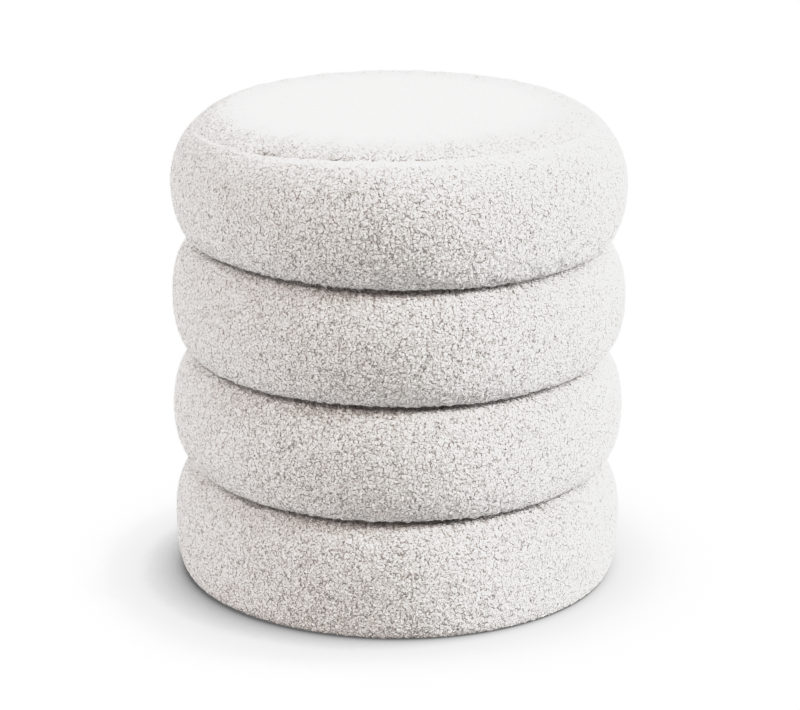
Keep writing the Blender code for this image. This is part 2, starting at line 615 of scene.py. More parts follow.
class ShaderTree:
    """The nodes of a material or of the world."""

    def __init__(self, owner: bpy.types.Material | bpy.types.World) -> None:
        """Turn on the owner's nodes, which start as its usual shader and output.

        Args:
            owner: a new material, or the world.
        """
        self.owner = owner
        owner.use_nodes = True
        self.nodes, self.links = owner.node_tree.nodes, owner.node_tree.links

    def node(
        self, kind: str, settings: dict[str, Any], *values: Any, output: Any = 0, **named: Any
    ) -> Value:
        """Add any node.

        Args:
            kind: the node's type.
            settings: its properties or its ramp's stops, set before its sockets.
            values: inputs in order.
            output: number or name of the output that is wanted.
            named: inputs by name, with _ for a space.

        Returns:
            The wanted output.
        """
        node = self.nodes.new(kind)
        for key, setting in settings.items():
            if key == "stops":
                self.set_stops(node.color_ramp.elements, setting)
            else:
                setattr(node, key, setting)
        for key, value in enumerate(values):
            self.feed(node.inputs[key], value)
        for key, value in named.items():
            self.feed(node.inputs[key.replace("_", " ")], value)
        return Value(self, node.outputs[output])

    def set_stops(self, elements: Any, stops: tuple[tuple[float, float], ...]) -> None:
        """Give a ramp its stops, each a place and a grey, in rising order.

        Args:
            elements: the ramp's stops.
            stops: place and grey of each.
        """
        elements[0].position, elements[1].position = stops[0][0], stops[-1][0]
        for place, _ in stops[1:-1]:
            elements.new(place)
        for element, (_, grey) in zip(elements, stops):
            element.color = (grey, grey, grey, 1.0)

    def feed(self, socket: bpy.types.NodeSocket, value: Any) -> None:
        """Link a value to a socket, or set a plain number or colour on it.

        Args:
            socket: an input.
            value: what goes into it.
        """
        if isinstance(value, Value):
            self.links.new(value.socket, socket)
        else:
            socket.default_value = value

    def mix(self, factor: Any, first: Any, second: Any) -> Value:
        """Blend two colours.

        Args:
            factor: share of the second colour.
            first: colour at 0.
            second: colour at 1.

        Returns:
            The blended colour.
        """
        node = self.nodes.new("ShaderNodeMix")
        node.data_type = "RGBA"
        sockets = [s for s in node.inputs if s.enabled]
        for socket, value in zip(sockets, (factor, first, second)):
            self.feed(socket, value)
        return Value(self, next(s for s in node.outputs if s.enabled))

    def coordinates(self) -> Value:
        """Object coordinates, in metres."""
        return self.node("ShaderNodeTexCoord", {}, output="Object")

    def noise(
        self, place: Value, size: float, detail: float, roughness: float = 0.5, output: Any = 0
    ) -> Value:
        """Noise from 0 to 1 whose features measure about `size` metres."""
        inputs = {"Vector": place, "Scale": 1.0 / size, "Detail": detail, "Roughness": roughness}
        return self.node("ShaderNodeTexNoise", {"noise_dimensions": "3D"}, output=output, **inputs)

    def cells(self, place: Value, size: float, feature: str = "F1") -> Value:
        """Distance to the nearest of scattered points, 0 to about 1, in cells of `size` metres.

        Args:
            place: coordinates.
            size: size of a cell in metres.
            feature: which distance is wanted.

        Returns:
            The distance.
        """
        settings = {"voronoi_dimensions": "3D", "feature": feature}
        inputs = {"Vector": place, "Scale": 1.0 / size}
        return self.node("ShaderNodeTexVoronoi", settings, output="Distance", **inputs)

    def wandering(self, place: Value, size: float, reach: float) -> Value:
        """Coordinates pushed about by noise of one size, by up to about half of `reach` each way.

        Args:
            place: coordinates.
            size: size of the noise's features in metres.
            reach: metres.

        Returns:
            The new coordinates.
        """
        push = self.noise(place, size, 1.0, output="Color")
        for operation, other in (("SUBTRACT", (0.5,) * 3), ("MULTIPLY", (reach,) * 3), ("ADD", place)):
            push = self.node("ShaderNodeVectorMath", {"operation": operation}, push, other)
        return push

    def attribute(self, name: str) -> Value:
        """A number kept on the mesh."""
        return self.node("ShaderNodeAttribute", {"attribute_name": name}, output="Fac")

    def bump(self, height: Value, distance: float, strength: float) -> Value:
        """Normal from a height of 0 to 1 that stands for `distance` metres."""
        return self.node("ShaderNodeBump", {}, Height=height, Distance=distance, Strength=strength)

    def principled(self, **named: Any) -> bpy.types.Material:
        """Set the Principled shader's inputs, with _ for a space.

        Args:
            named: inputs by name, numbers, colours or values.

        Returns:
            The material.
        """
        for key, value in named.items():
            self.feed(self.nodes["Principled BSDF"].inputs[key.replace("_", " ")], value)
        return self.owner

    def split(self, end: str, bounced: Value, seen: Value) -> None:
        """Give the output named `end` one shader for light that bounces and another for the camera.

        Args:
            end: name of the output node.
            bounced: shader for light that bounces.
            seen: shader for the camera.
        """
        camera = self.node("ShaderNodeLightPath", {}, output="Is Camera Ray")
        both = self.node("ShaderNodeMixShader", {}, camera, bounced, seen)
        self.feed(self.nodes[end].inputs["Surface"], both)


@dataclass(frozen=True)
class BoucleFinish:
    """Off-white curly pile: pale loops, short curved gaps between them darkened with painted shade, fibres
    and a soft sheen.
    """

    tip: tuple[float, float, float, float] = (0.82, 0.807, 0.790, 1.0)
    # Colour of the painted shade: in the gaps between curls, next to the creases and in the seam's groove
    gap: tuple[float, float, float, float] = (0.122, 0.107, 0.098, 1.0)
    curl_size: float = 3.05 * MM
    clump_size: float = 6.0 * MM
    curl_gap: float = 0.15
    clump_gap: float = 0.085
    curl_gap_painted_shade: float = 1.4
    clump_gap_painted_shade: float = 1.0
    pile_painted_shade: float = 0.20
    curl_some: float = 0.39
    clump_some: float = 0.38
    some_edge: float = 5.0
    uneven_size: float = 1.7 * MM
    patch_size: float = 3.0 * MM
    wander_size: float = 2.4 * MM
    wander_reach: float = 2.6 * MM
    lump_size: float = 1.7 * MM
    lump_tint: float = 0.60
    fibre_size: float = 0.85 * MM
    fibre_tint: float = 0.75
    curl_rise: float = 0.9
    curl_sink: float = 0.6
    clump_sink: float = 0.7
    lump_rise: float = 1.1
    fibre_rise: float = 0.6
    bump_depth: float = 2.4 * MM
    gap_roughness: float = 0.97
    tip_polish: float = 0.05
    specular: float = 0.12
    sheen: float = 0.8
    sheen_roughness: float = 0.45
    sheen_tint: tuple[float, float, float, float] = (1.0, 0.98, 0.96, 1.0)

    def gaps(self, cells: Value, width: float, patches: Value, some: float) -> Value:
        """Lines along the edges of cells, for painted shade and sunk bumps, only where the patches' noise
        is above `some`.
        """
        return (1.0 - cells / width).held() * ((patches - some) * self.some_edge).held()

    def material(self) -> bpy.types.Material:
        """Build the nodes.

        Wandering cells stand for curls, and larger ones for clumps of curls. Their edges are sunk and
        painted with shade, but only in places, which leaves short curved gaps. Lumps and fibres break up
        the rest. The mesh's pile attribute paints shade into the pile's hollows, next to the creases and
        in the seam's groove, and light onto the curls' tops and the seam's lip.

        Returns:
            The material.
        """
        tree = ShaderTree(bpy.data.materials.new("boucle"))
        place = tree.coordinates()
        wander = tree.wandering(place, self.wander_size, self.wander_reach)
        curls = tree.cells(wander, self.curl_size, "DISTANCE_TO_EDGE")
        clumps = tree.cells(wander, self.clump_size, "DISTANCE_TO_EDGE")
        lumps = tree.noise(place, self.lump_size, 1.0)
        fibres = tree.noise(place, self.fibre_size, 2.0, roughness=0.6)
        some, other = (tree.noise(place, size, 1.0) for size in (self.uneven_size, self.patch_size))
        curl_gap = self.gaps(curls, self.curl_gap, some, self.curl_some)
        clump_gap = self.gaps(clumps, self.clump_gap, other, self.clump_some)
        # Painted shade in the gaps between curls and between clumps
        dark = curl_gap * self.curl_gap_painted_shade + clump_gap * self.clump_gap_painted_shade
        grain = (lumps - 0.5) * self.lump_tint + (fibres - 0.5) * self.fibre_tint - dark
        nap = tree.attribute(NAP)
        # Painted shade where the pile attribute is low, in the pile's hollows, the creases and the seam's
        # groove, and painted light where it is high
        shade = (1.0 + grain * nap - (FLAT_PILE - tree.attribute(PILE)) * self.pile_painted_shade).held()
        height = lumps * self.lump_rise + fibres * self.fibre_rise + curls * self.curl_rise
        height = height - curl_gap * self.curl_sink - clump_gap * self.clump_sink
        return tree.principled(
            Base_Color=tree.mix(shade, self.gap, self.tip),
            Roughness=self.gap_roughness - shade * self.tip_polish,
            Normal=tree.bump(height * nap, self.bump_depth, 1.0),
            Specular_IOR_Level=self.specular,
            Sheen_Weight=self.sheen,
            Sheen_Roughness=self.sheen_roughness,
            Sheen_Tint=self.sheen_tint,
        )


@dataclass(frozen=True)
class LiningFinish:
    """Plain non-woven lining: warm grey, matted fibres and small pressed dots."""

    light: tuple[float, float, float, float] = (0.60, 0.575, 0.54, 1.0)
    dark: tuple[float, float, float, float] = (0.47, 0.45, 0.42, 1.0)
    dot_size: float = 2.2 * MM
    dot_reach: float = 0.35
    dot_edge: float = 0.25
    dot_tint: float = 0.25
    dot_sink: float = 0.4
    fibre_size: float = 1.5 * MM
    fibre_tint: float = 0.6
    fibre_rise: float = 0.6
    blotch_size: float = 40.0 * MM
    blotch_tint: float = 0.5
    bump_depth: float = 0.4 * MM
    bump_strength: float = 0.5
    roughness: float = 0.86
    fibre_roughness: float = 0.1
    specular: float = 0.2

    def material(self) -> bpy.types.Material:
        """Build the nodes: fibres tint it a little, dots and fibres press into it.

        Returns:
            The material.
        """
        tree = ShaderTree(bpy.data.materials.new("lining"))
        place = tree.coordinates()
        fibres = tree.noise(place, self.fibre_size, 3.0, roughness=0.65)
        dots = ((self.dot_reach - tree.cells(place, self.dot_size)) / self.dot_edge).held()
        blotches = tree.noise(place, self.blotch_size, 2.0)
        shade = (fibres * self.fibre_tint + blotches * self.blotch_tint - dots * self.dot_tint).held()
        height = fibres * self.fibre_rise - dots * self.dot_sink
        return tree.principled(
            Base_Color=tree.mix(shade, self.dark, self.light),
            Roughness=self.roughness + fibres * self.fibre_roughness,
            Normal=tree.bump(height, self.bump_depth, self.bump_strength),
            Specular_IOR_Level=self.specular,
        )


# ---- The padded pieces ----


@dataclass(frozen=True)
class Creases:
    """The lines between the tiers: where they lie, how they wander, how ragged they are, and how much
    shade is painted into the pile next to them.

    The crease under the lid gets only a share of that painted shade.
    """

    count: int
    fade_from: float
    fade_to: float
    radius: float = 0.183
    slot: float = 1.8 * MM
    closing: float = 5.0 * MM
    drop: float = 1.9 * MM
    lean: tuple[float, ...] = (0.0, 0.0, 0.0, 1.6 * MM)
    wander: float = 0.7 * MM
    swings: int = 11
    ripples: int = 37
    ripple_share: float = 0.45
    mouth: float = 0.1895
    mouth_width: float = 4.5 * MM
    ragged: float = 1.0 * MM
    fine_tufts: int = 440
    coarse_tufts: int = 230
    coarse_share: float = 0.25
    # Strength of the shade painted into the pile next to each crease; the next three fields give its share
    # under the lid, how far in from the mouth it lies and how wide it is
    dark: float = 3.7
    lid_painted_shade: float = 0.6
    painted_shade_inset: float = 7.0 * MM
    painted_shade_width: float = 3.4 * MM

    def fringe(self, number: int, angle: np.ndarray, radius: np.ndarray) -> np.ndarray:
        """How far loops stick out where a tier turns in to a crease: ragged, and only near the crease.

        Args:
            number: tells one edge from the next.
            angle: place round the axis.
            radius: distance from the axis.

        Returns:
            Outward move of each point.
        """
        turn = angle / FULL_TURN
        fine = Lattice(930 + number, self.fine_tufts).around(turn)
        coarse = Lattice(940 + number, self.coarse_tufts).around(turn)
        return self.near(radius) * self.ragged * (fine + self.coarse_share * coarse)

    def near(self, radius: np.ndarray) -> np.ndarray:
        """How near a radius lies to the mouth of a crease, from 0 to 1."""
        return hump(radius - self.mouth, self.mouth_width)

    def painted_shade_share(self, radius: np.ndarray) -> np.ndarray:
        """Share of the shade painted into the pile next to a crease, at a radius, from 0 to 1."""
        return hump(radius - self.mouth + self.painted_shade_inset, self.painted_shade_width)

    def offset(self, number: int, angle: np.ndarray) -> np.ndarray:
        """Height of crease `number` above its level, at each angle; the floor, number 0, is level.

        It lies a little low, and wanders by smooth noise in slow swings and quick ripples. The one under
        the lid also leans, down towards +X.

        Args:
            number: number of the crease.
            angle: place round the axis.

        Returns:
            Metres up, at each angle.
        """
        if number <= 0 or number > self.count:
            return np.zeros_like(angle)
        turn = angle / FULL_TURN
        swing = Lattice(900 + number, self.swings).around(turn)
        ripple = Lattice(910 + number, self.ripples).around(turn)
        wander = self.wander * (swing + self.ripple_share * ripple)
        return wander - self.lean[number] * np.cos(angle) - self.drop

    def move(self, tier: int, low: float, top: float, points: np.ndarray) -> np.ndarray:
        """Heights of a tier's points once its two creases have wandered.

        The move blends from the crease below to the one above, and fades out inside the drum's wall.

        Args:
            tier: number of the tier, 0 for the lowest.
            low: level height of the crease below.
            top: level height of the crease above.
            points: radius, angle and height of each point.

        Returns:
            New heights.
        """
        radius, angle, height = points
        share = np.clip((height - low) / (top - low), 0.0, 1.0)
        inward = smooth((radius - self.fade_from) / (self.fade_to - self.fade_from))
        below, above = self.offset(tier, angle), self.offset(tier + 1, angle)
        return height + inward * (below * (1.0 - share) + above * share)


@dataclass(frozen=True)
class Stuffing:
    """How far each place of a stuffed side stands proud or falls short, on a coarse grid."""

    grid: np.ndarray

    @classmethod
    def blown(cls, path: np.ndarray, seed: int, sewn_end: bool = True) -> Stuffing:
        """Blow a coarse cloth up between its sewn edges, and keep how far it moved.

        The cloth starts as the path turned about the axis, with slow unevenness as of hand stuffing. It is
        a little too large for its frame, is held at its sewn edges and is blown up by an even pressure.
        The mean of its outward move is taken off, so the piece keeps its size.

        Args:
            path: radius and height along the side, from its first sewn edge.
            seed: start of the random draws.
            sewn_end: False where the path ends in the middle of a disc.

        Returns:
            The moves, rows by columns.
        """
        rows, columns = 24, 120
        slow_swings, quick_swings = 9, 31
        slow_length, quick_length = 0.09, 0.035
        reach, quick_share = 0.6 * MM, 0.4
        most, sewn_rows = 3.0 * MM, 5.0
        path = spaced(path, rows)
        angle = even_angles(columns)
        turn, along = np.meshgrid(angle / FULL_TURN, run_length(path))
        slow = Lattice(seed, slow_swings).at(turn * slow_swings, along / slow_length)
        quick = Lattice(seed + 1, quick_swings).at(turn * quick_swings, along / quick_length)
        free = np.ones(rows)
        free[[0, -1] if sewn_end else [0]] = 0.0
        uneven = reach * (slow + quick_share * quick) * free[:, None]
        tangent = np.gradient(path, axis=0)
        out = np.stack([-tangent[:, 1], tangent[:, 0]], 1) / np.linalg.norm(tangent, axis=1)[:, None]
        if out[rows // 2].sum() < 0.0:
            out = -out
        radius = path[:, :1] + out[:, :1] * uneven
        height = path[:, 1:] + out[:, 1:] * uneven
        spread = np.broadcast_to(angle, radius.shape)
        after = blow_up(turned_points(radius, spread, height).reshape(rows, columns, 3), 1.0 - free)
        moved_radius, moved_height = np.hypot(after[..., 0], after[..., 1]), after[..., 2]
        move = (moved_radius - path[:, :1]) * out[:, :1] + (moved_height - path[:, 1:]) * out[:, 1:]
        level = move.mean(axis=1, keepdims=True)
        sewn_way = np.minimum(np.arange(rows), np.arange(rows)[::-1] if sewn_end else rows)
        puckers = smooth(sewn_way[:, None] / sewn_rows) * np.clip(move - level, -most, most)
        swell, spread = level.max() / MM, puckers.std() / MM
        LOG.info("simulated cloth: mean swell %.1f mm, unevenness %.2f mm", swell, spread)
        return cls(puckers)

    def at(self, turn: np.ndarray, share: np.ndarray) -> np.ndarray:
        """Move of each position, by a smooth curve through the grid's neighbours both ways.

        Args:
            turn: share of a full turn.
            share: share of the way along the side.

        Returns:
            Outward move in metres.
        """
        rows, columns = self.grid.shape
        across, along = turn * columns, np.clip(share, 0.0, 1.0) * (rows - 1)
        column, row = np.floor(across).astype(int), np.minimum(np.floor(along).astype(int), rows - 2)
        weights_a, weights_b = curve_weights(across - column), curve_weights(along - row)
        total = np.zeros(turn.shape)
        for step_b, step_a in itertools.product(range(4), repeat=2):
            place = (np.clip(row + step_b - 1, 0, rows - 1), (column + step_a - 1) % columns)
            total = total + weights_b[step_b] * weights_a[step_a] * self.grid[place]
        return total


def curve_weights(share: np.ndarray) -> list[np.ndarray]:
    """Weights of four neighbours for a smooth curve that passes through the middle two.

    Args:
        share: share of the way from the second neighbour to the third.

    Returns:
        One weight for each of the four.
    """
    square, cube = share * share, share * share * share
    return [
        0.5 * (-share + 2.0 * square - cube),
        0.5 * (2.0 - 5.0 * square + 3.0 * cube),
        0.5 * (share + 4.0 * square - 3.0 * cube),
        0.5 * (cube - square),
    ]


def blow_up(points: np.ndarray, held: np.ndarray, frames: int = 20) -> np.ndarray:
    """Run the cloth simulation on a turned grid of points and take the result off it.

    Args:
        points: rows by columns by 3, the columns wrapping.
        held: 1 for each row that is sewn down, 0 for a free one.
        frames: steps of the simulation.

    Returns:
        The points after the last step, in the same order.
    """
    rows, columns = points.shape[:2]
    mesh = bpy.data.meshes.new("stuffing")
    mesh.from_pydata(points.reshape(-1, 3).tolist(), [], grid_quads(rows, columns, closed=False).tolist())
    piece = bpy.data.objects.new("stuffing", mesh)
    bpy.context.scene.collection.objects.link(piece)
    sewn = piece.vertex_groups.new(name="sewn")
    for row in np.flatnonzero(held):
        sewn.add(range(int(row) * columns, int(row + 1) * columns), 1.0, "REPLACE")
    cloth = piece.modifiers.new("Cloth", "CLOTH")
    cloth.collision_settings.use_collision = False
    settings = cloth.settings
    settings.quality, settings.mass = 6, 0.3
    settings.tension_stiffness = settings.compression_stiffness = 15.0
    settings.shear_stiffness, settings.bending_stiffness = 5.0, 0.5
    settings.vertex_group_mass = "sewn"
    settings.use_pressure, settings.uniform_pressure_force = True, 4.0
    settings.shrink_min = -0.004
    settings.effector_weights.gravity = 0.0
    cloth.point_cache.frame_start, cloth.point_cache.frame_end = 1, frames
    for frame_number in range(1, frames + 1):
        bpy.context.scene.frame_set(frame_number)
    result = piece.evaluated_get(bpy.context.evaluated_depsgraph_get()).data
    after = np.empty(len(result.vertices) * 3, np.float32)
    result.vertices.foreach_get("co", after)
    bpy.data.objects.remove(piece)
    bpy.data.meshes.remove(mesh)
    bpy.context.scene.frame_set(1)
    return after.reshape(rows, columns, 3).astype(float)


@dataclass(frozen=True)
class Roundness:
    """How square the padded sides are: 2 is an ellipse, more is squarer."""

    ring: float = 2.2
    foot: float = 2.3
    shoulder: float = 1.95


@dataclass
class Makings:
    """What the drum and the lid are both made from."""

    sizes: Measures
    creases: Creases
    boucle: bpy.types.Material
    lining: bpy.types.Material
    pile: CurlyPile = field(default_factory=CurlyPile)
    roundness: Roundness = field(default_factory=Roundness)


@dataclass
class Drum(Makings):
    """The three padded rings and the board in the bottom."""

    columns: int = 916
    side_rows: int = 46
    foot_radius: float = 0.198
    names: tuple[str, ...] = ("ring_lower", "ring_middle", "ring_upper")

    def ring_section(self, tier: int, low: float, top: float) -> Section:
        """Section of one ring: top flat, round side, bottom flat, lined inner wall.

        The round side stops a little short of the level of each crease, so that a dark slot stays open
        between two tiers; further in, the cloth comes together.

        Args:
            tier: number of the ring, 0 for the lowest.
            low: height of its underside.
            top: height of its top.

        Returns:
            The closed section.
        """
        crease, slot = self.creases.radius, self.creases.slot
        wide = (self.sizes.outer, 0.5 * (low + top))
        upper = superellipse(wide, (crease, top - slot), self.roundness.ring)[::-1]
        inner, edge, close = self.sizes.storage, 2.5 * MM, crease - self.creases.closing
        shows = tier == len(self.names) - 1
        hem = superellipse((inner, top - edge), (inner + edge, top), 2.0, 30)
        stretches = [
            Stretch(hem, 2 if shows else 1, 0.3),
            Stretch(line((inner + edge, top), (close, top)), 5 if shows else 2, 0.4),
            Stretch(line((close, top), (crease, top - slot)), 3, 0.6),
            Stretch(upper, self.side_rows, 1.0),
        ]
        if tier == 0:
            lower = superellipse(wide, (self.foot_radius, low), self.roundness.foot)
            rebate, inner_low = self.sizes.board + BOARD_GAP, self.sizes.panel_top + BOARD_GAP
            stretches += [
                Stretch(lower, self.side_rows, 1.0),
                Stretch(line((self.foot_radius, low), (rebate, low)), 2),
                Stretch(line((rebate, low), (rebate, inner_low)), 1),
                Stretch(line((rebate, inner_low), (inner, inner_low)), 1),
            ]
        else:
            lower = superellipse(wide, (crease, low + slot), self.roundness.ring)
            inner_low = low
            stretches += [
                Stretch(lower, self.side_rows, 1.0),
                Stretch(line((crease, low + slot), (close, low)), 3, 0.6),
                Stretch(line((close, low), (inner, low)), 2, 0.2),
            ]
        stretches.append(Stretch(line((inner, inner_low), (inner, top - edge)), 2, lined=True))
        return Section.of(stretches, closed=True)

    def ring(self, tier: int, low: float, top: float) -> Surface:
        """Work out every point of one ring as whole arrays.

        A point is the section's point, moved out along the section's normal by the padding and the pile,
        and near a crease by its fringe. Where that would pass the level of a crease, it is pressed flat
        against it. Then the creases wander.

        Args:
            tier: number of the ring, 0 for the lowest.
            low: height of its underside.
            top: height of its top.

        Returns:
            The ring's surface.
        """
        section, creases, seed = self.ring_section(tier, low, top), self.creases, 100 * (tier + 1)
        run = section.distance()
        turn, along = np.meshgrid(even_angles(self.columns) / FULL_TURN, run)
        spread = np.broadcast_to(even_angles(self.columns), turn.shape)
        parts = (section.radius, section.height, section.pile, *section.normals())
        radius, height, strength, out_r, out_z = (part[:, None] for part in parts)
        round_way = FULL_TURN * float(radius.max())
        relief = self.pile.relief(turn * round_way, along, round_way, seed)
        side = np.flatnonzero(section.pile == 1.0)
        stuffing = Stuffing.blown(np.stack([section.radius, section.height], 1)[side], seed + 50)
        share = (along - run[side[0]]) / (run[side[-1]] - run[side[0]])
        depth = self.pile.depth * (1.0 - self.pile.pressed * creases.near(radius))
        move = stuffing.at(turn, share) * (strength == 1.0) + strength * depth * (relief - self.pile.mean)
        above = height > 0.5 * (low + top)
        open_side = np.where(above, 1.0, float(tier > 0))
        lower, upper = (creases.fringe(2 * tier + edge, spread, radius) for edge in (0, 1))
        move = move + smooth(strength) * open_side * np.where(above, upper, lower)
        # Shade painted into the pile next to the creases, weaker at the crease under the lid
        dimmed = np.where(above & (tier == creases.count - 1), creases.lid_painted_shade, 1.0)
        dark = creases.dark * dimmed * open_side * creases.painted_shade_share(radius)
        shade = np.where(strength > 0.0, relief - dark, FLAT_PILE)
        radius, height = radius + out_r * move, height + out_z * move
        height = np.where(strength > 0.0, np.clip(height, low + TIER_GAP, top - TIER_GAP), height)
        height = creases.move(tier, low, top, np.stack([radius, spread, height]))
        place, lined = (radius, spread, height), np.repeat(section.lined, self.columns)
        return Surface.turned(place, run, 2, closed=True, lined=lined, pile=shade.ravel())

    def rings(self) -> None:
        for tier, name in enumerate(self.names):
            surface = self.ring(tier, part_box(name)[0].z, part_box(name)[1].z)
            piece = surface.to_object(name + "_cloth", [self.boucle, self.lining])
            declare(piece, Body.DRUM, [name])

    def bottom(self) -> None:
        """Build the plain board in the bottom, its upper edge a little rounded."""
        low, top, radius = 0.0, self.sizes.panel_top, self.sizes.board
        piece = board("bottom_panel_cloth", [(radius, top), (radius, low)], self.lining)
        declare(piece, Body.DRUM, ["bottom_panel"])


def rounded_corners(corners: list[tuple[float, float]], radius: float, count: int = 5) -> np.ndarray:
    """A broken line whose inner corners are rounded by a curve from before each corner to after it.

    Args:
        corners: points of the broken line, its two ends included.
        radius: how far before and after a corner the curve starts and ends.
        count: points of each curve.

    Returns:
        Points of the rounded line.
    """
    path = [np.array(corners[0])]
    share = np.linspace(0.0, 1.0, count)[:, None]
    for before, corner, after in zip(corners, corners[1:], corners[2:]):
        before, corner, after = np.array(before), np.array(corner), np.array(after)
        start = corner + (before - corner) * radius / np.linalg.norm(before - corner)
        end = corner + (after - corner) * radius / np.linalg.norm(after - corner)
        path += list((1 - share) ** 2 * start + 2 * share * (1 - share) * corner + share**2 * end)
    return np.array([*path, np.array(corners[-1])])


def board(
    name: str, edge: list[tuple[float, float]], material: bpy.types.Material, columns: int = 240
) -> bpy.types.Object:
    """A cloth-covered board: its edge turned about the axis, closed by a flat face above and below.

    Args:
        name: the piece's name.
        edge: corners of the edge's section, from the top face down to the bottom face.
        material: its finish.
        columns: points round it.

    Returns:
        The new object.
    """
    inset = 12.0 * MM
    corners = [(edge[0][0] - inset, edge[0][1]), *edge, (edge[-1][0] - inset, edge[-1][1])]
    path = rounded_corners(corners, 1.2 * MM)
    angle, radius = np.meshgrid(even_angles(columns), path[:, 0])
    height = np.broadcast_to(path[:, 1:], radius.shape)
    pile = np.full(radius.size, 0.5)
    surface = Surface.turned((radius, angle, height), run_length(path), 4, pile=pile, cap_room=0.5)
    return surface.to_object(name, [material])


def disc_grid(cells: int) -> tuple[np.ndarray, np.ndarray]:
    """Square grid bent into a disc, so that it has no pole.

    A point of the square at (a, b) goes to the disc at a distance of the larger of |a| and |b|, and at an
    angle that grows evenly along the square's side.

    Args:
        cells: quads along a side of the square.

    Returns:
        Distance from the middle, from 0 to 1, and angle of each point.
    """
    side = np.linspace(-1.0, 1.0, cells + 1)
    a, b = np.meshgrid(side, side, indexing="ij")
    reach = np.maximum(np.abs(a), np.abs(b))
    safe = np.where(reach == 0.0, 1.0, reach)
    up_or_down = np.sign(b) * (0.5 * math.pi - 0.25 * math.pi * a / safe)
    sideways = np.where(a >= 0, 0.0, math.pi) + 0.25 * math.pi * b / safe * np.where(a >= 0, 1.0, -1.0)
    angle = np.where(np.abs(b) > np.abs(a), up_or_down, sideways)
    return reach, np.where(reach == 0.0, 0.0, angle) % FULL_TURN


def disc_rim(cells: int) -> np.ndarray:
    """Point numbers along the rim of a square grid, in order round it.

    Args:
        cells: quads along a side of the square.

    Returns:
        The point numbers, 4 times `cells` of them.
    """
    steps, count = np.arange(cells), cells + 1
    sides = (steps * count, cells * count + steps, (cells - steps) * count + cells, cells - steps)
    return np.concatenate(sides)


def disc_quads(cells: int) -> tuple[np.ndarray, np.ndarray]:
    """Corner numbers and map of a square grid's quads, the map over nearly the whole width and height.

    Args:
        cells: quads along a side of the square.

    Returns:
        Four point numbers and four map positions for each quad.
    """
    row, column = np.indices((cells, cells))
    first, count = row * (cells + 1) + column, cells + 1
    quads = np.stack([first, first + count, first + count + 1, first + 1], -1).reshape(-1, 4)
    down = np.stack([row, row + 1, row + 1, row], -1).reshape(-1, 4) / cells
    across = np.stack([column, column, column + 1, column + 1], -1).reshape(-1, 4) / cells
    return quads, np.stack([down * 0.97, across * 0.97], -1)


@dataclass(frozen=True)
class Seam:
    """The lid's shoulder seam: how it wanders round the lid, and how the cloth lies near it.

    Its radius is `level`, leaning to -X, smaller in front and behind, with a small step in front on the
    left. Widths and rises are metres, except `step_width`, which is for a cosine.
    """

    level: float
    lean: float = 5.0 * MM
    oval: float = 4.0 * MM
    step: float = 1.8 * MM
    step_angle: float = math.radians(-137.0)
    step_width: float = 0.00002
    slow_wander: float = 0.7 * MM
    quick_wander: float = 0.5 * MM
    lip_starts: float = 0.62
    lip_fades: float = 0.16
    lip_rise: float = 1.2 * MM
    lip_width: float = 1.0 * MM
    hiding_starts: float = 0.05
    hiding_fades: float = 0.45
    hiding: float = 0.85
    groove_width: float = 1.2 * MM
    groove_depth: float = 0.2 * MM
    dip_depth: float = 1.2 * MM
    strip_width: float = 10.0 * MM
    strip_fades: float = 6.0 * MM
    strip_edge: float = 1.5 * MM
    strip_pressed: float = 0.35
    pull: float = 0.4 * MM
    pull_width: float = 7.0 * MM

    def radius(self, angle: np.ndarray) -> np.ndarray:
        """Distance of the seam from the axis at each angle.

        Args:
            angle: place round the axis.

        Returns:
            The radii in metres.
        """
        turn = angle / FULL_TURN
        lean = -self.lean * np.cos(angle) + self.oval * np.cos(2.0 * angle)
        step = self.step * np.exp(-((np.cos(angle - self.step_angle) - 1.0) ** 2) / self.step_width)
        slow, quick = Lattice(701, 9).around(turn), Lattice(702, 67).around(turn)
        return self.level + lean + step + self.slow_wander * slow + self.quick_wander * quick

    def shape(self, away: np.ndarray, angle: np.ndarray) -> tuple[np.ndarray, np.ndarray, np.ndarray]:
        """How the cloth lies near the seam.

        On the -X side a narrow lip of turned cloth stands up along the seam. In front and behind, the seam
        is a groove with deeper dips a stitch or two apart, over a strip of band whose pile is pressed flat.
        Towards +X the pile hides it. Light is painted onto the lip and the strip, shade into the groove
        and its dips.

        Args:
            away: metres from the seam, positive on the top panel.
            angle: place round the axis.

        Returns:
            Outward move, share of the full pile, and the light and shade painted into the pile.
        """
        turn, towards = angle / FULL_TURN, np.cos(angle)
        left = smooth((-towards - self.lip_starts) / self.lip_fades)
        hidden = self.hiding * smooth((towards - self.hiding_starts) / self.hiding_fades)
        open_share = (1.0 - left) * (1.0 - hidden)
        stitch, ragged = Lattice(703, 211).around(turn), Lattice(704, 97).around(turn)
        dip = smooth((stitch + 0.3) / 0.7) * open_share
        groove = hump(away, self.groove_width)
        lip = left * (0.55 + 0.45 * ragged) * hump(away + self.lip_width, self.lip_width)
        strip = smooth((away + self.strip_width) / self.strip_fades) * smooth(-away / self.strip_edge)
        strip = open_share * strip
        move = self.lip_rise * lip - (self.groove_depth * open_share + self.dip_depth * dip) * groove
        move -= self.pull * hump(away, self.pull_width)
        short = 1.0 - np.maximum(0.8 * np.sqrt(lip), self.strip_pressed * strip)
        # Painted light on the lip and on the pressed strip, painted shade in the groove and, darker still,
        # in the stitch dips
        shade = 0.3 * lip + 0.1 * strip - (0.2 * open_share + 2.6 * dip) * groove
        return move, short, shade


